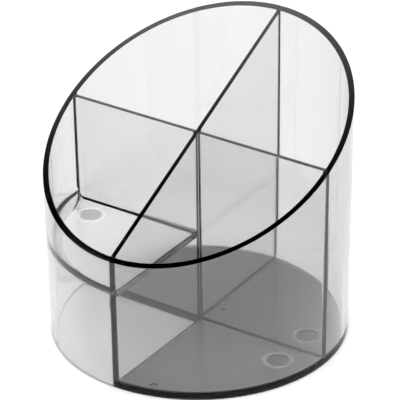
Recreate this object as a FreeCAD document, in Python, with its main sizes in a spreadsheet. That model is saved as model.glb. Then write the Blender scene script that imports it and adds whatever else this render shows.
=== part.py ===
"""Round desk organizer with a slanted rim, moulded in clear smoke-tinted plastic.

The organizer is one injection moulding. It is built here from the panels that it is made of, each a
solid of its own that meets its neighbours face to face: the round outer wall, the long divider that
runs up the slope, the two cross dividers, three floors at table height and one raised tray floor.

Frame, in millimetres: the origin is the centre of the base, on the table. +Z is up, and the rim rises
towards +X. The raised tray is in the quarter where X is negative and Y is positive.
"""

import FreeCAD, Part
import math
import os

import Sketcher

doc = FreeCAD.newDocument("desk_organizer")

# ---------------------------------------------------------------- driving dimensions

SIZES = [
    ("base_radius", 52.0, "outer radius of the wall at the table"),
    ("wall_thickness", 2.0, "outer wall, measured level"),
    ("wall_draft", 0.81, "degrees by which the wall leans outwards as it rises"),
    ("rim_middle_height", 74.5, "height of the slanted rim plane above the centre"),
    ("rim_slope", 25.9, "degrees by which the rim plane rises towards +X"),
    ("divider_thickness", 2.0, "both dividers, at the table"),
    ("divider_draft", 0.18, "degrees by which each divider face leans inwards as it rises"),
    ("cross_top_height", 74.6, "level top of the cross dividers"),
    ("cross_edge_radius", 0.4, "rounding of that top, on the edge towards the low side of the rim"),
    ("floor_thickness", 2.2, "the three low floors"),
    ("tray_height", 35.4, "top of the raised tray floor"),
    ("tray_thickness", 2.0, "raised tray floor between its curved edges"),
    ("tray_fillet", 3.6, "radius between the top of the tray and the wall"),
    ("tray_root_reach", 4.4, "distance from the wall at which the underside begins to rise"),
    ("tray_root_rise", 2.9, "rise of the underside where it meets the wall"),
    ("fillet_land", 0.15, "width at which each fillet stops, so that it ends in no knife edge"),
    ("ejector_radius", 3.6, "round mark of the ejector pin on each floor"),
    ("ejector_depth", 0.15, "how far the ejector mark is sunk"),
    ("ejector_from_cross", 10.0, "ejector mark from the middle plane of the cross dividers"),
    ("ejector_from_long", 38.5, "ejector mark from the middle plane of the long divider"),
    ("gate_radius", 0.7, "moulding gate mark near the centre"),
    ("gate_depth", 0.4, "how far the gate mark is sunk"),
    ("gate_from_cross", 9.3, "gate mark from the middle plane of the cross dividers"),
    ("gate_from_long", 4.6, "gate mark from the middle plane of the long divider"),
    ("wall_mark_radius", 1.8, "moulding mark on the front right floor, beside the wall"),
    ("wall_mark_depth", 0.3, "how far the mark beside the wall is sunk"),
    ("wall_mark_from_cross", 46.2, "mark beside the wall from the middle plane of the cross dividers"),
    ("wall_mark_from_long", 12.6, "mark beside the wall from the middle plane of the long divider"),
    ("reach", 70.0, "length of blanks and cutters from the centre, past the wall"),
    ("blank_height", 110.0, "height of blanks and cutters, past the rim"),
]

sizes = doc.addObject("Spreadsheet::Sheet", "sizes")
for row, (alias, value, meaning) in enumerate(SIZES, start=1):
    sizes.set(f"A{row}", alias)
    sizes.set(f"B{row}", str(value))
    sizes.set(f"C{row}", meaning)
    sizes.setAlias(f"B{row}", alias)
doc.recompute()

# ---------------------------------------------------------------- expressions shared by the parts

BELOW = "(-0.1 * sizes.reach)"
ABOVE = "sizes.blank_height"
OUTSIDE = "sizes.reach"
CROSS_TOP = "sizes.cross_top_height"
EDGE_RADIUS = "sizes.cross_edge_radius"
TRAY_TOP = "sizes.tray_height"
TRAY_UNDERSIDE = "(sizes.tray_height - sizes.tray_thickness)"
TRAY_LIP_TOP = "(sizes.tray_height + sizes.tray_fillet)"
TRAY_LIP_BOTTOM = f"({TRAY_UNDERSIDE} + sizes.tray_root_rise)"
TRAY_ROOT_RADIUS = "((sizes.tray_root_reach ^ 2 + sizes.tray_root_rise ^ 2) / (2 * sizes.tray_root_rise))"


def inner_radius(height):
    """Inside radius of the wall at a height."""
    outer = f"sizes.base_radius + ({height}) * tan(sizes.wall_draft)"
    return f"({outer} - sizes.wall_thickness)"


def divider_half(height):
    """Half the thickness of a divider at a height."""
    return f"(sizes.divider_thickness / 2 - ({height}) * tan(sizes.divider_draft))"


def rim_height(along):
    """Height of the slanted rim plane at a place along X."""
    return f"(sizes.rim_middle_height + ({along}) * tan(sizes.rim_slope))"


# ---------------------------------------------------------------- sketches


def new_body(label):
    body = doc.addObject("PartDesign::Body", label)
    body.Label = label
    return body


def new_sketch(body, name, plane, lift=None):
    """A sketch on one of the origin planes of its body, lifted along that plane's normal."""
    sketch = body.newObject("Sketcher::SketchObject", f"{body.Label}_{name}")
    support = [feature for feature in body.Origin.OriginFeatures if feature.Role == plane][0]
    sketch.AttachmentSupport = [(support, "")]
    sketch.MapMode = "FlatFace"
    if lift is not None:
        sketch.setExpression("AttachmentOffset.Base.z", lift)
    return sketch


def number(sketch, expression):
    return float(sketch.evalExpression(expression))


def constrain(sketch, expression, kind, *where):
    """Adds a constraint whose size is an expression."""
    value = number(sketch, expression)
    index = sketch.addConstraint(Sketcher.Constraint(kind, *where, value))
    sketch.setExpression(f"Constraints[{index}]", expression)


def pin_point(sketch, edge, end, across, up):
    """Holds a point of an edge at two distances from the origin of the sketch."""
    constrain(sketch, across, "DistanceX", -1, 1, edge, end)
    constrain(sketch, up, "DistanceY", -1, 1, edge, end)


def draw_outline(sketch, corners):
    """A closed outline of straight edges and arcs of less than half a turn.

    A corner is (across, up). Where an arc leads to the next corner, it is (across, up, radius, centre),
    and the centre is the pair of expressions that the arc is first drawn about.
    """
    first, last = 1, 2
    points = [FreeCAD.Vector(number(sketch, c[0]), number(sketch, c[1]), 0) for c in corners]
    ends = []
    for corner, start, end in zip(corners, points, points[1:] + points[:1]):
        if len(corner) == 2:
            sketch.addGeometry(Part.LineSegment(start, end))
            ends.append((first, last))
            continue
        centre = FreeCAD.Vector(number(sketch, corner[3][0]), number(sketch, corner[3][1]), 0)
        circle = Part.Circle(centre, FreeCAD.Vector(0, 0, 1), number(sketch, corner[2]))
        to_start, to_end = start - centre, end - centre
        clockwise = to_start.x * to_end.y < to_start.y * to_end.x
        spokes = (to_end, to_start) if clockwise else (to_start, to_end)
        turn = [math.atan2(spoke.y, spoke.x) for spoke in spokes]
        sketch.addGeometry(Part.ArcOfCircle(circle, *turn))
        ends.append((last, first) if clockwise else (first, last))
    for edge, corner in enumerate(corners):
        following = (edge + 1) % len(corners)
        meets = (edge, ends[edge][1], following, ends[following][0])
        sketch.addConstraint(Sketcher.Constraint("Coincident", *meets))
        pin_point(sketch, edge, ends[edge][0], corner[0], corner[1])
        if len(corner) > 2:
            constrain(sketch, corner[2], "Radius", edge)


def draw_circle(sketch, across, up, radius):
    middle = 3
    centre = FreeCAD.Vector(number(sketch, across), number(sketch, up), 0)
    circle = Part.Circle(centre, FreeCAD.Vector(0, 0, 1), number(sketch, radius))
    edge = sketch.addGeometry(circle)
    pin_point(sketch, edge, middle, across, up)
    constrain(sketch, radius, "Radius", edge)


def draw_divider_section(sketch):
    """The drafted cross-section of a divider, from the table to past the rim."""
    foot = divider_half("0")
    head = divider_half(ABOVE)
    draw_outline(sketch, [(f"-{foot}", "0"), (foot, "0"), (head, ABOVE), (f"-{head}", ABOVE)])


def draw_cross_divider_section(sketch):
    """The same drafted section with a level top, rounded on the edge towards the low side of the rim."""
    foot = divider_half("0")
    round_foot = f"({CROSS_TOP} - {EDGE_RADIUS})"
    round_side = f"-{divider_half(round_foot)}"
    round_middle = f"({round_side} + {EDGE_RADIUS})"
    corners = [
        (f"-{foot}", "0"),
        (round_side, round_foot, EDGE_RADIUS, (round_middle, round_foot)),
        (round_middle, CROSS_TOP),
        (divider_half(CROSS_TOP), CROSS_TOP),
        (foot, "0"),
    ]
    draw_outline(sketch, corners)


# ---------------------------------------------------------------- features shared by the parts


def new_feature(body, kind, name, sketch, **settings):
    feature = body.newObject(kind, f"{body.Label}_{name}")
    feature.Profile = sketch
    for key, value in settings.items():
        setattr(feature, key, value)
    doc.recompute()
    return feature


def new_pad(body, name, sketch, length, **settings):
    pad = new_feature(body, "PartDesign::Pad", name, sketch, **settings)
    pad.setExpression("Length", length)
    doc.recompute()


def new_pocket(body, name, sketch, length, **settings):
    pocket = new_feature(body, "PartDesign::Pocket", name, sketch, **settings)
    pocket.setExpression("Length", length)
    doc.recompute()


def fit_inside_wall(body):
    """Turns away everything that lies outside the inner face of the wall."""
    sketch = new_sketch(body, "wall_line", "XZ_Plane")
    corners = [(inner_radius(BELOW), BELOW), (OUTSIDE + " * 2", BELOW)]
    corners += [(OUTSIDE + " * 2", ABOVE), (inner_radius(ABOVE), ABOVE)]
    draw_outline(sketch, corners)
    axis = (sketch, ["V_Axis"])
    new_feature(body, "PartDesign::Groove", "inside_wall", sketch, ReferenceAxis=axis, Angle=360.0)


def cut_to_rim(body):
    """Takes away everything above the slanted rim plane."""
    sketch = new_sketch(body, "rim_line", "XZ_Plane")
    low, high = f"-{OUTSIDE}", OUTSIDE
    corners = [(low, rim_height(low)), (high, rim_height(high))]
    corners += [(high, ABOVE + " * 2"), (low, ABOVE + " * 2")]
    draw_outline(sketch, corners)
    new_pocket(body, "rim", sketch, OUTSIDE + " * 2", SideType="Symmetric")


def cut_for_divider(body, name, plane):
    """Takes away the room of a divider whose cross-section lies in that plane."""
    sketch = new_sketch(body, name, plane)
    draw_divider_section(sketch)
    new_pocket(body, f"{name}_room", sketch, OUTSIDE + " * 2", SideType="Symmetric")


def cut_for_both_dividers(body):
    cut_for_divider(body, "long_divider", "YZ_Plane")
    cut_for_divider(body, "cross_divider", "XZ_Plane")


def sink_mark(body, name, height, across, up, radius, depth):
    """A round moulding mark, sunk into an upper face at a height."""
    sketch = new_sketch(body, name, "XY_Plane", lift=height)
    draw_circle(sketch, across, up, radius)
    new_pocket(body, f"{name}_recess", sketch, depth)


def sink_ejector_mark(body, height, x_side, y_side):
    across = f"{x_side} * sizes.ejector_from_cross"
    up = f"{y_side} * sizes.ejector_from_long"
    sink_mark(body, "ejector", height, across, up, "sizes.ejector_radius", "sizes.ejector_depth")


# ---------------------------------------------------------------- the panels


def outer_wall():
    """Drafted tube, cut off level at the table and along the slanted plane at the rim."""
    body = new_body("outer_wall")
    sketch = new_sketch(body, "section", "XZ_Plane")
    inside_foot, inside_head = inner_radius("0"), inner_radius(ABOVE)
    corners = [(inside_foot, "0"), (f"{inside_foot} + sizes.wall_thickness", "0")]
    corners += [(f"{inside_head} + sizes.wall_thickness", ABOVE), (inside_head, ABOVE)]
    draw_outline(sketch, corners)
    axis = (sketch, ["V_Axis"])
    new_feature(body, "PartDesign::Revolution", "tube", sketch, ReferenceAxis=axis, Angle=360.0)
    cut_to_rim(body)
    return body


def long_divider():
    """Full-width plate that runs up the slope, from the low side of the rim to the high side."""
    body = new_body("long_divider")
    sketch = new_sketch(body, "section", "YZ_Plane")
    draw_divider_section(sketch)
    new_pad(body, "plate", sketch, OUTSIDE + " * 2", SideType="Symmetric")
    fit_inside_wall(body)
    cut_to_rim(body)
    return body


def cross_divider(label, towards_plus_y):
    """Plate across the slope, from the long divider to the wall, with a level top."""
    body = new_body(label)
    sketch = new_sketch(body, "section", "XZ_Plane")
    draw_cross_divider_section(sketch)
    new_pad(body, "plate", sketch, OUTSIDE, Reversed=towards_plus_y)
    cut_for_divider(body, "long_divider", "YZ_Plane")
    fit_inside_wall(body)
    return body


def low_floor(label, x_side, y_side):
    """Quarter-round floor on the table, between the dividers and the wall."""
    body = new_body(label)
    sketch = new_sketch(body, "quarter", "XY_Plane")
    x_end, y_end = f"{x_side} * sizes.reach", f"{y_side} * sizes.reach"
    draw_outline(sketch, [("0", "0"), (x_end, "0"), (x_end, y_end), ("0", y_end)])
    new_pad(body, "plate", sketch, "sizes.floor_thickness")
    cut_for_both_dividers(body)
    fit_inside_wall(body)
    sink_ejector_mark(body, "sizes.floor_thickness", x_side, y_side)
    return body


def raised_tray_floor():
    """Quarter-round floor half way up. Its edge curves up along the wall, on both faces."""
    body = new_body("raised_tray_floor")
    sketch = new_sketch(body, "section", "YZ_Plane")
    lower_end = inner_radius(TRAY_LIP_BOTTOM)
    upper_end = f"({inner_radius(TRAY_LIP_TOP)} - sizes.fillet_land)"
    lower_start = f"({lower_end} - sizes.tray_root_reach)"
    upper_start = f"({upper_end} - sizes.tray_fillet)"
    lower_centre = (lower_start, f"({TRAY_UNDERSIDE} + {TRAY_ROOT_RADIUS})")
    corners = [
        ("0", TRAY_UNDERSIDE),
        (lower_start, TRAY_UNDERSIDE, TRAY_ROOT_RADIUS, lower_centre),
        (lower_end, TRAY_LIP_BOTTOM),
        (inner_radius(TRAY_LIP_TOP), TRAY_LIP_TOP),
        (upper_end, TRAY_LIP_TOP, "sizes.tray_fillet", (upper_start, TRAY_LIP_TOP)),
        (upper_start, TRAY_TOP),
        ("0", TRAY_TOP),
    ]
    draw_outline(sketch, corners)
    axis = (sketch, ["V_Axis"])
    new_feature(body, "PartDesign::Revolution", "quarter", sketch, ReferenceAxis=axis, Angle=90.0)
    cut_for_both_dividers(body)
    sink_ejector_mark(body, TRAY_TOP, -1, 1)
    return body


def front_right_floor():
    """The low floor that also carries a small moulding mark beside the wall."""
    body = low_floor("front_right_floor", -1, -1)
    place = ("-sizes.wall_mark_from_cross", "-sizes.wall_mark_from_long")
    form = ("sizes.wall_mark_radius", "sizes.wall_mark_depth")
    sink_mark(body, "wall_mark", "sizes.floor_thickness", *place, *form)
    return body


def back_right_floor():
    """The low floor that also carries the gate mark of the moulding."""
    body = low_floor("back_right_floor", 1, -1)
    place = ("sizes.gate_from_cross", "-sizes.gate_from_long")
    form = ("sizes.gate_radius", "sizes.gate_depth")
    sink_mark(body, "gate", "sizes.floor_thickness", *place, *form)
    return body


panels = [
    outer_wall(),
    long_divider(),
    cross_divider("left_cross_divider", True),
    cross_divider("right_cross_divider", False),
    front_right_floor(),
    back_right_floor(),
    low_floor("back_left_floor", 1, 1),
    raised_tray_floor(),
]
doc.recompute()

# ---------------------------------------------------------------- checks and files

faults = [o.Name for o in doc.Objects if "Invalid" in o.State or "Error" in o.State]
for panel in panels:
    shape = panel.Shape
    if shape.isNull() or not shape.isValid() or len(shape.Solids) != 1:
        faults.append(panel.Label)
if faults:
    raise RuntimeError(f"these did not build: {faults}")

os.makedirs("parts", exist_ok=True)
for panel in panels:
    panel.Shape.exportStep(f"parts/{panel.Label}.step")
    box = panel.Shape.BoundBox
    corner_low = f"({box.XMin:.2f}, {box.YMin:.2f}, {box.ZMin:.2f})"
    corner_high = f"({box.XMax:.2f}, {box.YMax:.2f}, {box.ZMax:.2f})"
    print(f"{panel.Label}: {panel.Shape.Volume:.1f} mm3, {corner_low} to {corner_high}")
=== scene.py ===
"""Looks of the desk organizer, a round pot with a slanted rim, moulded in clear smoke-tinted plastic.

Each panel of the frame is rebuilt as a finer mesh with rounded edges, in the place of its own node. The
real pot is one moulding, so the panels stand a hair apart and bend no light where they run into each
other: such faces carry the value "joined". Faces that the mould leaves dull carry the value "matt", and
faces that are a little cloudy carry the value "haze". Everything is in metres.
"""

import math

import bmesh
import bpy
from mathutils import Matrix, Vector


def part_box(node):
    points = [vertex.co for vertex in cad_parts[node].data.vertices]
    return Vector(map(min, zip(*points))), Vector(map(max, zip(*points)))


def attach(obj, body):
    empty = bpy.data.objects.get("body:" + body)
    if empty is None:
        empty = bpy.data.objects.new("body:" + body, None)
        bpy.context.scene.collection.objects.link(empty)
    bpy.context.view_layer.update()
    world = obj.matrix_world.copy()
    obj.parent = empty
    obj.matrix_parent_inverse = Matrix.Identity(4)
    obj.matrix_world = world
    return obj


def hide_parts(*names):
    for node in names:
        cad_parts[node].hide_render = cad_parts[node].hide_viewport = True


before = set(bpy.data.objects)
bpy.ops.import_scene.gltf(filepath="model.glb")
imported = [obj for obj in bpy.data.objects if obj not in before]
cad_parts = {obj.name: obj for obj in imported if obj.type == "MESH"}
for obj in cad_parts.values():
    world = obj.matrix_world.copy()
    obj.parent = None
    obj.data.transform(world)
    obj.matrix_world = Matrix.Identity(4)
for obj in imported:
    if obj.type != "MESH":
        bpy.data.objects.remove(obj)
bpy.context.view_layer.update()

MM = 0.001
BODY = "root"

# ---------------------------------------------------------------- sizes, from the frame

wall_low, wall_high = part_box("outer_wall")
_, long_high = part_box("long_divider")
cross_low, cross_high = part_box("left_cross_divider")
_, floor_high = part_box("back_left_floor")
tray_low, tray_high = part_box("raised_tray_floor")

# The slanted rim, the round wall, which leans outwards, and the dividers, which get thinner upwards.
RIM_RISE = (wall_high.z - long_high.z) / (wall_high.x - long_high.x)
RIM_MIDDLE = wall_high.z - RIM_RISE * wall_high.x
RIM_FRONT = RIM_MIDDLE + RIM_RISE * wall_low.x
WALL_LEAN = (wall_high.x + wall_low.x) / (wall_high.z - RIM_FRONT)
OUTER_FOOT = wall_high.x - WALL_LEAN * wall_high.z
INNER_FOOT = long_high.x - WALL_LEAN * long_high.z
DIVIDER_FOOT = long_high.y
CROSS_TOP = cross_high.z
DIVIDER_LEAN = (DIVIDER_FOOT - cross_low.y) / CROSS_TOP
FLOOR_TOP = floor_high.z

# ---------------------------------------------------------------- sizes of the finer shapes

# Curves of the tray. ROOT is at the wall and EDGE at a divider. The fillets are above the tray. The
# underside climbs by RISE over the last REACH.
TRAY_FILLET = 3.6 * MM
TRAY_EDGE_FILLET = 1.4 * MM
TRAY_ROOT_RISE = 2.9 * MM
TRAY_ROOT_REACH = 4.4 * MM
TRAY_EDGE_RISE = 0.6 * MM
TRAY_EDGE_REACH = 1.6 * MM

# Fillets around the low floors and in the upright corners. A corner fillet ends above or below a
# floor within CORNER_FADE, and all fillets stop FILLET_LAND off the face that they run into.
FLOOR_FILLET = 0.4 * MM
CORNER_FILLET = 0.5 * MM
CORNER_FADE = 0.3 * MM
FILLET_LAND = 0.03 * MM

# Lengths at the ends of a divider whose points follow the curves there.
WALL_REACH = 4.6 * MM
CORNER_REACH = 0.6 * MM

TRAY_LIP_TOP = tray_high.z
TRAY_TOP = TRAY_LIP_TOP - TRAY_FILLET
TRAY_UNDERSIDE = tray_low.z
TRAY_LIP_FOOT = TRAY_UNDERSIDE + TRAY_ROOT_RISE
FLOOR_LIP_TOP = FLOOR_TOP + FLOOR_FILLET

# Gap between neighbouring panels, and radii of the outer edges.
JOINT_GAP = 0.015 * MM
FOOT_ROUND = 0.15 * MM
RIM_ROUND = 0.06 * MM
DIVIDER_ROUND = 0.05 * MM
CROSS_FRONT_ROUND = 0.4 * MM

# Moulding marks, placed from the crossing of the dividers. The ejector mark is a recess with a raised
# ring around it, as (radius, height) in mm. A small mark is (place, radius, depth), and its profile is
# in shares of the radius and the depth.
EJECTOR_PLACE = (10.0 * MM, 38.5 * MM)
EJECTOR_PROFILE = (
    (5.4, 0.0),
    (4.9, 0.02),
    (4.4, 0.025),
    (3.9, 0.0),
    (3.75, -0.05),
    (3.6, -0.12),
    (3.5, -0.15),
)
EJECTOR_MATT = 0.8
SMALL_MARK_PROFILE = ((1.0, 0.0), (0.92, 0.15), (0.82, 0.8), (0.7, 1.0))
GATE_MARK = ((9.3 * MM, 4.6 * MM), 0.7 * MM, 0.4 * MM)
WALL_MARK = ((46.2 * MM, 12.6 * MM), 1.6 * MM, 0.3 * MM)

# Fineness of the meshes.
ROUND_STEPS = 4
FILLET_STEPS = 12
QUARTER_STEPS = 64
PANEL_STEPS = 12
MARK_STEPS = 48
RIM_PASSES = 12
SHARP_ANGLE = math.radians(35)
WELD = 0.001 * MM

# Looks of single faces. PAINTED_FOOT_SHADE is a value of "joined", the others are values of "haze" and "matt".
LOW_FLOOR_HAZE = {"floor": 0.3, "ring": 0.9}
TRAY_HAZE = {"floor": 0.43, "ring": 0.53}
TOP_MATT = 0.3
# Painted shade: the value for the foot of the wall takes away most of its bend and reflection, standing
# in for the contact shadow on the table that the foot would reflect.
PAINTED_FOOT_SHADE = 0.62

# The quarter of the round wall that has the tray, where 0 starts along X and each is a right angle on.
TRAY_SECTOR = 1


def outer_radius(height):
    return OUTER_FOOT + WALL_LEAN * height


def inner_radius(height):
    return INNER_FOOT + WALL_LEAN * height


def divider_half(height):
    """Half the thickness of a divider at a height."""
    return DIVIDER_FOOT - DIVIDER_LEAN * height


def rim_height(along):
    """Height of the slanted rim plane at a place along X."""
    return RIM_MIDDLE + RIM_RISE * along


def steps(count):
    """Evenly spaced shares from 0 to 1."""
    return [i / count for i in range(count + 1)]


class Curve:
    """The curve of a floor towards the face that it runs into: an arc, level where it starts."""

    def __init__(self, radius, start):
        self.radius = radius
        self.start = start

    def rise(self, away):
        """Height above the level part of the floor, at a distance from the face."""
        into = min(max(self.start - away, 0.0), self.radius)
        return self.radius - math.sqrt(self.radius**2 - into**2)

    def distances(self):
        """Distances from the face, from the start of the curve to its end, closer together there."""
        turns = [math.sin(share * math.pi / 2) for share in steps(FILLET_STEPS)]
        return [JOINT_GAP + (self.start - JOINT_GAP) * (1 - turn) for turn in turns]


def fillet(radius):
    """A quarter round, which ends a hair from the face."""
    return Curve(radius, radius + FILLET_LAND)


def sweep(rise, reach):
    """A flatter arc, from a distance up to a height on the face."""
    return Curve((reach**2 + rise**2) / (2 * rise), reach)


# ---------------------------------------------------------------- meshes


class Panel:
    """A mesh under construction, whose faces carry the values joined, matt and haze."""

    VALUES = ("joined", "matt", "haze")

    def __init__(self):
        self.mesh = bmesh.new()
        self.layers = {name: self.mesh.faces.layers.float.new(name) for name in self.VALUES}

    def point(self, place):
        return self.mesh.verts.new(place)

    def face(self, corners, **values):
        face = self.mesh.faces.new(corners)
        for name, value in values.items():
            face[self.layers[name]] = value
        return face

    def loop(self, places):
        return [self.point(place) for place in places]

    def band(self, lower, upper, closed=True, **values):
        """Quads between two rows of points."""
        for i in range(len(lower) if closed else len(lower) - 1):
            k = (i + 1) % len(lower)
            self.face([lower[i], lower[k], upper[k], upper[i]], **values)

    def flat_face_with_holes(self, outline, holes, **values):
        """Fills a level outline around round holes."""
        edges = []
        for ring in [outline, *holes]:
            for i, start in enumerate(ring):
                end = ring[(i + 1) % len(ring)]
                edges.append(self.mesh.edges.get((start, end)) or self.mesh.edges.new((start, end)))
        filled = bmesh.ops.triangle_fill(self.mesh, use_beauty=True, use_dissolve=False, edges=edges)
        for made in filled["geom"]:
            if isinstance(made, bmesh.types.BMFace):
                for name, value in values.items():
                    made[self.layers[name]] = value

    def mark(self, centre, rings, **cap):
        """A round moulding mark of rings, each (radius, height). Returns them, outermost first."""
        x, y, z = centre
        turns = [share * 2 * math.pi for share in steps(MARK_STEPS)[:-1]]
        rows = []
        for radius, height in rings:
            places = [(x + radius * math.cos(a), y + radius * math.sin(a), z + height) for a in turns]
            rows.append(self.loop(places))
        for outer, inner in zip(rows, rows[1:]):
            self.band(outer, inner)
        self.face(rows[-1], **cap)
        return rows

    def build(self, name, material, mirror=(1, 1)):
        """Closes the mesh and puts it in the place of the node of that name."""
        mesh = self.mesh
        bmesh.ops.scale(mesh, vec=(*mirror, 1), verts=mesh.verts)
        bmesh.ops.remove_doubles(mesh, verts=mesh.verts, dist=WELD)
        bmesh.ops.recalc_face_normals(mesh, faces=mesh.faces)
        for face in mesh.faces:
            face.smooth = True
        data = bpy.data.meshes.new(f"moulded_{name}")
        mesh.to_mesh(data)
        mesh.free()
        data.set_sharp_from_angle(angle=SHARP_ANGLE)
        data.materials.append(material)
        piece = bpy.data.objects.new(f"moulded_{name}", data)
        bpy.context.scene.collection.objects.link(piece)
        normals = piece.modifiers.new("level_faces_stay_level", "WEIGHTED_NORMAL")
        normals.keep_sharp = True
        normals.weight = 100
        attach(piece, BODY)
        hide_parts(name)


def rounded(before, corner, after, radius):
    """Points of an arc in place of the corner between two straight edges of a flat section."""
    corner = Vector(corner)
    back = (Vector(before) - corner).normalized()
    ahead = (Vector(after) - corner).normalized()
    half = back.angle(ahead) / 2
    centre = corner + (back + ahead).normalized() * (radius / math.sin(half))
    start = corner + back * (radius / math.tan(half)) - centre
    end = corner + ahead * (radius / math.tan(half)) - centre
    bend = start.angle(end)
    places = []
    for share in steps(ROUND_STEPS):
        mix = start * math.sin((1 - share) * bend) + end * math.sin(share * bend)
        places.append(centre + mix / math.sin(bend))
    return places


def outer_wall(material):
    """The round wall. Its columns of points keep to the edges of the dividers that run into it.

    Beside the low floors the foot reflects less and looks nearly black: painted contact shade.
    """
    inner_rows = (TRAY_LIP_TOP, TRAY_LIP_FOOT, FLOOR_LIP_TOP)

    def angle(sector, share, height):
        middle = sector * math.pi / 2
        if share is None:
            return middle
        inset = math.asin((divider_half(height) + CORNER_FILLET) / inner_radius(height))
        return middle + inset + share * (math.pi / 2 - 2 * inset)

    def rim(radius_at, sector, share):
        """Where a ruling of the wall meets the rim plane."""
        height = RIM_MIDDLE
        for _ in range(RIM_PASSES):
            height = rim_height(radius_at(height) * math.cos(angle(sector, share, height)))
        return radius_at(height), height

    def section(sector, share):
        inner_foot, outer_foot = (INNER_FOOT, 0.0), (OUTER_FOOT, 0.0)
        outer_rim, inner_rim = rim(outer_radius, sector, share), rim(inner_radius, sector, share)
        points = [Vector(inner_foot)]
        points += rounded(inner_foot, outer_foot, outer_rim, FOOT_ROUND)
        points += [Vector((outer_radius(FLOOR_LIP_TOP), FLOOR_LIP_TOP))]
        points += rounded(outer_foot, outer_rim, inner_rim, RIM_ROUND)
        points += rounded(outer_rim, inner_rim, inner_foot, RIM_ROUND)
        points += [Vector((inner_radius(height), height)) for height in inner_rows]
        return points

    panel = Panel()
    columns = []
    for sector in range(4):
        for share in [None, *steps(QUARTER_STEPS)]:
            places = []
            for radius, height in section(sector, share):
                turn = angle(sector, share, height)
                places.append((radius * math.cos(turn), radius * math.sin(turn), height))
            columns.append((sector, share, panel.loop(places)))
    count = len(columns[0][2])
    floor_band = count - 1
    tray_band = count - 3
    inner_bands = range(count - len(inner_rows) - 1, count)
    outer_foot_bands = range(1, ROUND_STEPS + 2)
    for i, (sector, share, column) in enumerate(columns):
        _, next_share, next_column = columns[(i + 1) % len(columns)]
        at_divider = share is None or next_share is None
        for k in range(count):
            at_tray = k == tray_band and sector == TRAY_SECTOR
            at_floor = k == floor_band and sector != TRAY_SECTOR
            joined = float(k in inner_bands and (at_divider or at_tray or at_floor))
            # Painted shade: the foot beside the low floors reflects less, for the contact shadow it
            # would reflect.
            if k in outer_foot_bands and sector != TRAY_SECTOR:
                joined = PAINTED_FOOT_SHADE
            up = (k + 1) % count
            corners = [column[k], next_column[k], next_column[up], column[up]]
            panel.face(corners, joined=joined, matt=float(k == 0))
    panel.build("outer_wall", material)


TRAY_TOP_AT_WALL = fillet(TRAY_FILLET)
TRAY_TOP_AT_DIVIDER = fillet(TRAY_EDGE_FILLET)
TRAY_FOOT_AT_WALL = sweep(TRAY_ROOT_RISE, TRAY_ROOT_REACH)
TRAY_FOOT_AT_DIVIDER = sweep(TRAY_EDGE_RISE, TRAY_EDGE_REACH)
FLOOR_EDGE_CURVE = fillet(FLOOR_FILLET)
CORNER = fillet(CORNER_FILLET)

# Rows of points on a divider, from its foot up. The rows from TOP_EDGE on are its rounded top edge.
FOOT, FLOOR_EDGE, ABOVE_FLOOR, BELOW_TRAY, TRAY_FOOT, TRAY_EDGE, ABOVE_TRAY, TOP_EDGE = range(8)


def row_height(row, from_wall):
    """Height of a row below the top edge, at a distance from the outer wall."""
    tray_foot = TRAY_UNDERSIDE + max(TRAY_EDGE_RISE, TRAY_FOOT_AT_WALL.rise(from_wall))
    tray_edge = TRAY_TOP + max(TRAY_EDGE_FILLET, TRAY_TOP_AT_WALL.rise(from_wall))
    heights = {
        FOOT: 0.0,
        FLOOR_EDGE: FLOOR_LIP_TOP,
        ABOVE_FLOOR: FLOOR_LIP_TOP + CORNER_FADE,
        BELOW_TRAY: tray_foot - CORNER_FADE,
        TRAY_FOOT: tray_foot,
        TRAY_EDGE: tray_edge,
        ABOVE_TRAY: tray_edge + CORNER_FADE,
    }
    return heights[row]


def flare(row, beside_tray, away):
    """Growth of a divider into the fillet at its end. The floors leave no room for it."""
    beside_floor = row in (TRAY_FOOT, TRAY_EDGE) if beside_tray else row in (FOOT, FLOOR_EDGE)
    return 0.0 if beside_floor else CORNER.rise(away)


def edge_of_top(row, radius, half):
    """Distance from the middle plane and drop from the top, along the rounded edge of a divider."""
    turn = (row - TOP_EDGE) / ROUND_STEPS * math.pi / 2
    return half - radius * (1 - math.cos(turn)), radius * (1 - math.sin(turn))


def divider(name, material, stations, place, joined):
    """A plate. place(station, side, row) gives its points. joined says where a neighbour meets it."""
    panel = Panel()
    rows = list(range(TOP_EDGE + ROUND_STEPS + 1))
    round_trip = [(1, row) for row in rows] + [(-1, row) for row in reversed(rows)]
    loops = [panel.loop([place(s, side, row) for side, row in round_trip]) for s in stations]
    for (s, loop), (s_next, loop_next) in zip(zip(stations, loops), list(zip(stations, loops))[1:]):
        for k, (side, row) in enumerate(round_trip):
            up = (k + 1) % len(round_trip)
            next_side, next_row = round_trip[up]
            foot = row == FOOT and next_row == FOOT
            meets = side == next_side and joined((s + s_next) / 2, side, min(row, next_row))
            corners = [loop[k], loop_next[k], loop_next[up], loop[up]]
            panel.face(corners, joined=float(meets), matt=float(foot))
    for loop in (loops[0], loops[-1]):
        for row in rows[:-1]:
            other = len(round_trip) - 1 - row
            panel.face([loop[row], loop[row + 1], loop[other - 1], loop[other]], joined=1.0)
    panel.build(name, material)


def between(anchors, station):
    """A place on a line of anchors, where station 1.5 is half way from the second to the third."""
    first = min(int(station), len(anchors) - 2)
    return anchors[first] + (station - first) * (anchors[first + 1] - anchors[first])


def end_stations(reach, curve):
    """Shares of the reach of an end, from the end inwards and closely spaced where its curve is."""
    return [0.0, *[distance / reach for distance in reversed(curve.distances())]]


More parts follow.
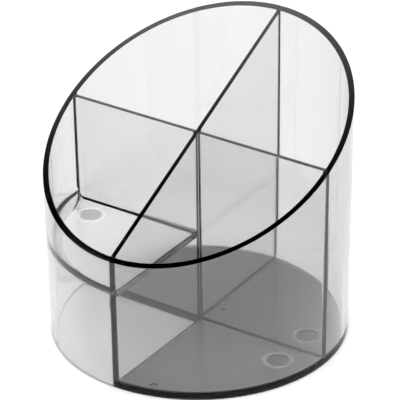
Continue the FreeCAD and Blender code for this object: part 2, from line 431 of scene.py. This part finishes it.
def long_divider(material):
    """Full-width plate up the slope. Stations 0 and 5 are at the wall, and 2 to 3 is the crossing."""

    def along(station, side_way, height):
        end = math.sqrt(inner_radius(height) ** 2 - side_way**2) - JOINT_GAP
        crossing = divider_half(height) + CORNER_FILLET
        anchors = [-end, WALL_REACH - end, -crossing, crossing, end - WALL_REACH, end]
        return between(anchors, station)

    def place(station, side, row):
        from_wall = min(station, 5 - station, 1) * WALL_REACH
        growth = flare(row, station < 2 and side > 0, from_wall)
        if row < TOP_EDGE:
            height = row_height(row, from_wall)
            y = divider_half(height) + growth
            return along(station, y, height), side * y, height
        height = RIM_MIDDLE
        for _ in range(RIM_PASSES):
            y, drop = edge_of_top(row, DIVIDER_ROUND, divider_half(height) + growth)
            height = rim_height(along(station, y, height)) - drop
        return along(station, y, height), side * y, height

    def joined(station, side, row):
        if 2 < station < 3:
            return row < TOP_EDGE
        return row == (TRAY_FOOT if station < 2 and side > 0 else FOOT)

    ends = end_stations(WALL_REACH, TRAY_TOP_AT_WALL)
    stations = list(ends)
    stations += [1 + share for share in steps(PANEL_STEPS)]
    stations += [2.5]
    stations += [3 + share for share in steps(PANEL_STEPS)]
    stations += [5 - share for share in reversed(ends)]
    divider("long_divider", material, stations, place, joined)


def cross_divider(name, material, y_side):
    """Plate across the slope. Station 0 is at the long divider, and station 3 at the wall."""

    def along(station, side_way, height):
        start = divider_half(height) + JOINT_GAP
        end = math.sqrt(inner_radius(height) ** 2 - side_way**2) - JOINT_GAP
        return between([start, start + CORNER_REACH, end - WALL_REACH, end], station)

    def place(station, side, row):
        from_wall = min(3 - station, 1) * WALL_REACH
        from_end = min(from_wall, station * CORNER_REACH)
        growth = flare(row, y_side > 0 and side < 0, from_end)
        if row < TOP_EDGE:
            height = row_height(row, from_wall)
            x = divider_half(height) + growth
        else:
            radius = DIVIDER_ROUND if side > 0 else CROSS_FRONT_ROUND
            x, drop = edge_of_top(row, radius, divider_half(CROSS_TOP) + growth)
            height = CROSS_TOP - drop
        return side * x, y_side * along(station, x, height), height

    def joined(station, side, row):
        return row == (TRAY_FOOT if y_side > 0 and side < 0 else FOOT)

    stations = end_stations(CORNER_REACH, CORNER)
    stations += [1 + share for share in steps(PANEL_STEPS)]
    stations += [3 - share for share in reversed(end_stations(WALL_REACH, TRAY_TOP_AT_WALL))]
    divider(name, material, stations, place, joined)


def ejector_mark(panel, height, ring_haze):
    """The dull round mark of an ejector pin and its hazy ring. Returns the outline of the mark."""
    rings = [(radius * MM, rise * MM) for radius, rise in EJECTOR_PROFILE]
    rows = panel.mark((*EJECTOR_PLACE, height), rings, matt=EJECTOR_MATT)
    for face in {face for vert in rows[1] + rows[2] for face in vert.link_faces}:
        face[panel.layers["haze"]] = ring_haze
    return rows[0]


def small_mark(panel, height, place, radius, depth):
    """A small round recess with a soft edge. Returns its outline."""
    rings = [(radius * wide, -depth * deep) for wide, deep in SMALL_MARK_PROFILE]
    return panel.mark((*place, height), rings, matt=1.0)[0]


def floor_sheet(panel, level, at_divider, at_wall, lift):
    """Points of one side of a quarter-round floor, built where X and Y are positive.

    Each column starts beside the crossing and ends at the wall. The first and last columns follow the
    dividers, and the columns next to them are in the curves there. lift is 0 for a side that stays
    level. Returns the columns, and how many of them lie in the curves at each end.
    """
    from_edge = list(reversed(at_divider.distances()))
    from_wall = at_wall.distances()

    def height(edge, wall):
        return level + lift * max(at_divider.rise(edge), at_wall.rise(wall))

    def beside_divider(edge):
        """A column that keeps to a distance from the divider along X."""
        start = divider_half(height(edge, WALL_REACH)) + edge
        places = [(start, start, height(edge, WALL_REACH))]
        for wall in from_wall:
            z = height(edge, wall)
            y = divider_half(z) + edge
            places.append((math.sqrt((inner_radius(z) - wall) ** 2 - y**2), y, z))
        return places

    def fan(share):
        """A column that leaves the end of the curves at a share of a right angle."""
        corner = divider_half(level) + from_edge[-1]
        turn = share * math.pi / 2
        way_out = Vector((math.cos(turn), math.sin(turn)))
        across = corner * (way_out.x + way_out.y)
        places = [(corner, corner, level)]
        for wall in from_wall:
            z = height(WALL_REACH, wall)
            reach = math.sqrt(across**2 + (inner_radius(z) - wall) ** 2 - 2 * corner**2) - across
            places.append((corner + way_out.x * reach, corner + way_out.y * reach, z))
        return places

    near = [beside_divider(edge) for edge in from_edge]
    far = [[(y, x, z) for x, y, z in column] for column in reversed(near)]
    middle = [fan(share) for share in steps(QUARTER_STEPS)[1:-1]]
    return [panel.loop(column) for column in near + middle + far], len(near)


def quarter_floor(name, material, sides, sheets, haze, marks=()):
    """A floor with its marks, built from an upper and a lower sheet and then mirrored to its place.

    A sheet is (level, curve at the dividers, curve at the wall, lift). The curves stay clear. The level
    parts are matt, and the upper one is hazy as well.
    """
    panel = Panel()
    both = []
    for level, at_divider, at_wall, lift in sheets:
        columns, edge_columns = floor_sheet(panel, level, at_divider, at_wall, lift)
        last = len(columns) - 1
        for k, (column, following) in enumerate(zip(columns, columns[1:])):
            in_curve = k < edge_columns - 1 or k > last - edge_columns
            for row in range(0 if in_curve else 1, len(column) - 1):
                panel.face([column[row], following[row], following[row + 1], column[row + 1]])
        open_middle = columns[edge_columns - 1 : len(columns) - edge_columns + 1]
        outline = [open_middle[0][0], *[column[1] for column in open_middle]]
        if both:
            panel.face(outline, matt=1.0)
        else:
            holes = [ejector_mark(panel, level, haze["ring"])]
            holes += [small_mark(panel, level, *mark) for mark in marks]
            panel.flat_face_with_holes(outline, holes, matt=TOP_MATT, haze=haze["floor"])
        both.append(columns)
    upper, lower = both
    for top, foot in ((upper[0], lower[0]), (upper[-1], lower[-1])):
        panel.band(foot, top, closed=False, joined=1.0)
    rim_of_top = [column[-1] for column in upper]
    rim_of_foot = [column[-1] for column in lower]
    panel.band(rim_of_foot, rim_of_top, closed=False, joined=1.0)
    panel.build(name, material, sides)


# ---------------------------------------------------------------- materials

PLASTIC_IOR = 1.585
SMOKE = (0.03, 0.0, 0.02, 1)
WHITE = (1, 1, 1, 1)

# Noises of the surface, in waves per metre: the grain of matt faces, faint smears left by wiping, and
# slow waves left by the flow of the plastic.
GRAIN = {"scale": 900.0, "detail": 3.0}
GRAIN_SPREAD = 0.3
GRAIN_LOW = 0.85
SMEARS = {"scale": 45.0, "detail": 4.0, "stretch": (1, 1, 0.4)}
SMEAR_ROUGHNESS = 0.02
FLOW = {"scale": 70.0, "detail": 2.0, "stretch": (1, 1, 0.25)}
FLOW_STRENGTH = 0.25
FLOW_DEPTH = 0.05 * MM

# density is the absorption per metre, dullness the roughness of matt faces, and cloud the milky share
# of faces with haze.
PANEL_LOOK = {"density": 95.0, "dullness": 0.3, "cloud": 0.12}
TRAY_LOOK = {"density": 60.0, "dullness": 0.35, "cloud": 0.9}
# The low floors' density is painted shade: the same plastic made much darker there, standing in for the
# shade on the table under the pot.
LOW_FLOOR_LOOK_WITH_PAINTED_SHADE = {"density": 450.0, "dullness": 0.35, "cloud": 0.2}


def shader_node(tree, kind, **settings):
    made = tree.nodes.new(kind)
    for name, value in settings.items():
        setattr(made, name, value)
    return made


def math_node(tree, operation, *values):
    """The output of a math node whose inputs are numbers or sockets."""
    made = shader_node(tree, "ShaderNodeMath", operation=operation)
    for socket, value in zip(made.inputs, values):
        if isinstance(value, bpy.types.NodeSocket):
            tree.links.new(value, socket)
        else:
            socket.default_value = value
    return made.outputs[0]


def fade(tree, value, across, levels=(0.0, 1.0), kind="SMOOTHSTEP"):
    """Goes from the first level to the second while a value crosses a range."""
    made = shader_node(tree, "ShaderNodeMapRange", interpolation_type=kind)
    for name, number in zip(("From Min", "From Max", "To Min", "To Max"), (*across, *levels)):
        made.inputs[name].default_value = number
    tree.links.new(value, made.inputs["Value"])
    return made.outputs["Result"]


def noise(tree, scale, detail, stretch=(1, 1, 1)):
    """Noise in the object's own coordinates."""
    coordinates = shader_node(tree, "ShaderNodeTexCoord")
    mapping = shader_node(tree, "ShaderNodeMapping")
    mapping.inputs["Scale"].default_value = stretch
    made = shader_node(tree, "ShaderNodeTexNoise")
    made.inputs["Scale"].default_value = scale
    made.inputs["Detail"].default_value = detail
    tree.links.new(coordinates.outputs["Object"], mapping.inputs["Vector"])
    tree.links.new(mapping.outputs["Vector"], made.inputs["Vector"])
    return made.outputs[0]


def value_of_faces(tree, name):
    return shader_node(tree, "ShaderNodeAttribute", attribute_name=name).outputs["Fac"]


def new_material(name):
    """A material and its node tree."""
    material = bpy.data.materials.new(name)
    material.use_nodes = True
    return material, material.node_tree


def smoke_plastic(name, density, dullness, cloud):
    """Clear plastic that takes light away with distance, and bends none where faces are joined."""
    material, tree = new_material(name)
    plastic = tree.nodes["Principled BSDF"]
    plastic.inputs["Base Color"].default_value = WHITE
    plastic.inputs["IOR"].default_value = PLASTIC_IOR
    plastic.inputs["Transmission Weight"].default_value = 1.0

    joined = value_of_faces(tree, "joined")
    bend = math_node(tree, "MULTIPLY_ADD", joined, 1 - PLASTIC_IOR, PLASTIC_IOR)
    tree.links.new(bend, plastic.inputs["IOR"])

    matt = value_of_faces(tree, "matt")
    grain = math_node(tree, "MULTIPLY_ADD", noise(tree, **GRAIN), GRAIN_SPREAD, GRAIN_LOW)
    dull = math_node(tree, "MULTIPLY", math_node(tree, "MULTIPLY", matt, dullness), grain)
    smears = math_node(tree, "MULTIPLY", noise(tree, **SMEARS), SMEAR_ROUGHNESS)
    tree.links.new(math_node(tree, "ADD", dull, smears), plastic.inputs["Roughness"])

    haze = value_of_faces(tree, "haze")
    clear = math_node(tree, "MULTIPLY_ADD", haze, -cloud, 1.0)
    tree.links.new(clear, plastic.inputs["Transmission Weight"])

    flow = shader_node(tree, "ShaderNodeBump")
    flow.inputs["Strength"].default_value = FLOW_STRENGTH
    flow.inputs["Distance"].default_value = FLOW_DEPTH
    tree.links.new(noise(tree, **FLOW), flow.inputs["Height"])
    tree.links.new(flow.outputs["Normal"], plastic.inputs["Normal"])

    smoke = shader_node(tree, "ShaderNodeVolumeAbsorption")
    smoke.inputs["Color"].default_value = SMOKE
    smoke.inputs["Density"].default_value = density
    tree.links.new(smoke.outputs[0], tree.nodes["Material Output"].inputs["Volume"])
    return material


# ---------------------------------------------------------------- the organizer

panel_plastic = smoke_plastic("smoke_plastic", **PANEL_LOOK)
tray_plastic = smoke_plastic("smoke_plastic_of_tray", **TRAY_LOOK)
# The low floors get a darker copy of the plastic, as painted shade.
floor_plastic_with_painted_shade = smoke_plastic("smoke_plastic_of_low_floors_with_painted_shade", **LOW_FLOOR_LOOK_WITH_PAINTED_SHADE)

outer_wall(panel_plastic)
long_divider(panel_plastic)
cross_divider("left_cross_divider", panel_plastic, 1)
cross_divider("right_cross_divider", panel_plastic, -1)

low_sheets = [
    (FLOOR_TOP, FLOOR_EDGE_CURVE, FLOOR_EDGE_CURVE, 1),
    (0.0, FLOOR_EDGE_CURVE, FLOOR_EDGE_CURVE, 0),
]
tray_sheets = [
    (TRAY_TOP, TRAY_TOP_AT_DIVIDER, TRAY_TOP_AT_WALL, 1),
    (TRAY_UNDERSIDE, TRAY_FOOT_AT_DIVIDER, TRAY_FOOT_AT_WALL, 1),
]
quarter_floor("front_right_floor", floor_plastic_with_painted_shade, (-1, -1), low_sheets, LOW_FLOOR_HAZE, [WALL_MARK])
quarter_floor("back_right_floor", floor_plastic_with_painted_shade, (1, -1), low_sheets, LOW_FLOOR_HAZE, [GATE_MARK])
quarter_floor("back_left_floor", floor_plastic_with_painted_shade, (1, 1), low_sheets, LOW_FLOOR_HAZE)
quarter_floor("raised_tray_floor", tray_plastic, (-1, 1), tray_sheets, TRAY_HAZE)

# ---------------------------------------------------------------- studio

TABLE_RADIUS = 6.0
TABLE_DROP = 0.2 * MM
TABLE_WHITE = (0.85, 0.85, 0.85, 1)
TABLE_ROUGHNESS = 0.7
FILL_LIGHT = 0.22

ROOF_SIZE = 2.0
ROOF_HEIGHT = 2.5
ROOF_POWER = 50.0

HORIZON_LIGHT = 1.40
OVERHEAD_LIGHT = 0.04
SKY_FADE = (0.55, 0.80)

CARD_SIZE = 0.5
CARD_PLACE = (0.1, 0.28, 0.55)
CARD_FADE = (-0.118, 0.017)
CARD_LEAN = 0.35
CARD_CURVE = 3.0
CARD_LIGHT = 2.0


def white_table():
    """A table just under the pot. A ring of fill light makes up for the shadow beside its foot."""
    bpy.ops.mesh.primitive_circle_add(
        vertices=128, radius=TABLE_RADIUS, fill_type="NGON", location=(0, 0, -TABLE_DROP)
    )
    table = bpy.context.object
    table.name = "table"
    material, tree = new_material("table_paint")
    paint = tree.nodes["Principled BSDF"]
    paint.inputs["Base Color"].default_value = TABLE_WHITE
    paint.inputs["Roughness"].default_value = TABLE_ROUGHNESS
    paint.inputs["Emission Color"].default_value = WHITE
    coordinates = shader_node(tree, "ShaderNodeTexCoord")
    length = shader_node(tree, "ShaderNodeVectorMath", operation="LENGTH")
    tree.links.new(coordinates.outputs["Object"], length.inputs[0])
    from_middle = length.outputs["Value"]
    fill = fade(tree, from_middle, (OUTER_FOOT, 2 * OUTER_FOOT), (FILL_LIGHT, 0.0))
    outside = math_node(tree, "GREATER_THAN", from_middle, OUTER_FOOT)
    tree.links.new(math_node(tree, "MULTIPLY", fill, outside), paint.inputs["Emission Strength"])
    table.data.materials.append(material)


def roof_light():
    """A large soft light straight above, which reflections don't see."""
    lamp = bpy.data.lights.new("roof_light", "AREA")
    lamp.shape = "DISK"
    lamp.size = ROOF_SIZE
    lamp.energy = ROOF_POWER
    light = bpy.data.objects.new("roof_light", lamp)
    bpy.context.scene.collection.objects.link(light)
    light.location = (0, 0, ROOF_HEIGHT)
    light.visible_glossy = False


def studio_sky():
    """Bright all round up to a height, and dim overhead, as in a light tent with a dark roof."""
    world = bpy.data.worlds.new("studio")
    bpy.context.scene.world = world
    world.use_nodes = True
    tree = world.node_tree
    background = tree.nodes["Background"]
    coordinates = shader_node(tree, "ShaderNodeTexCoord")
    parts = shader_node(tree, "ShaderNodeSeparateXYZ")
    tree.links.new(coordinates.outputs["Generated"], parts.inputs[0])
    strength = fade(tree, parts.outputs["Z"], SKY_FADE, (HORIZON_LIGHT, OVERHEAD_LIGHT))
    tree.links.new(strength, background.inputs["Strength"])
    background.inputs["Color"].default_value = WHITE


def top_card():
    """A card above the pot, seen by reflections only, and brighter towards the high side of the rim."""
    bpy.ops.mesh.primitive_plane_add(size=CARD_SIZE, location=CARD_PLACE)
    card = bpy.context.object
    card.name = "top_card"
    for kind in ("camera", "diffuse", "transmission", "volume_scatter", "shadow"):
        setattr(card, f"visible_{kind}", False)
    material, tree = new_material("top_card")
    tree.nodes.clear()
    coordinates = shader_node(tree, "ShaderNodeTexCoord")
    parts = shader_node(tree, "ShaderNodeSeparateXYZ")
    tree.links.new(coordinates.outputs["Object"], parts.inputs[0])
    way = math_node(tree, "MULTIPLY_ADD", parts.outputs["Y"], CARD_LEAN, parts.outputs["X"])
    rise = math_node(tree, "POWER", fade(tree, way, CARD_FADE, kind="LINEAR"), CARD_CURVE)
    glow = shader_node(tree, "ShaderNodeEmission")
    tree.links.new(math_node(tree, "MULTIPLY", rise, CARD_LIGHT), glow.inputs["Strength"])
    target = shader_node(tree, "ShaderNodeOutputMaterial")
    tree.links.new(glow.outputs[0], target.inputs["Surface"])
    card.data.materials.append(material)


white_table()
roof_light()
studio_sky()
top_card()

# ---------------------------------------------------------------- camera and colour

FOCAL = 288.37
SENSOR = 36
NEAREST = 0.01
FARTHEST = 50
DISTANCE = 1.09855
AZIMUTH = math.radians(-55.903)
ELEVATION = math.radians(28.648)
ROLL = math.radians(-0.693)
AIM = Vector((-0.16, -0.95, 48.45)) * MM
BOUNCES = 32


def new_camera():
    """A long lens, looking down at the front of the pot."""
    lens = bpy.data.cameras.new("camera")
    lens.sensor_width = SENSOR
    lens.lens = FOCAL
    lens.clip_start = NEAREST
    lens.clip_end = FARTHEST
    camera = bpy.data.objects.new("camera", lens)
    bpy.context.scene.collection.objects.link(camera)
    out = math.cos(ELEVATION)
    back = Vector((math.sin(AZIMUTH) * out, -math.cos(AZIMUTH) * out, math.sin(ELEVATION)))
    turn = (-back).to_track_quat("-Z", "Y").to_matrix() @ Matrix.Rotation(ROLL, 3, "Z")
    camera.location = AIM + back * DISTANCE
    camera.rotation_euler = turn.to_euler()
    return camera


scene = bpy.context.scene
scene.camera = new_camera()
scene.view_settings.view_transform = "Standard"
scene.cycles.max_bounces = BOUNCES
scene.cycles.transmission_bounces = BOUNCES
scene.cycles.glossy_bounces = BOUNCES
scene.cycles.transparent_max_bounces = BOUNCES
scene.cycles.blur_glossy = 0.0
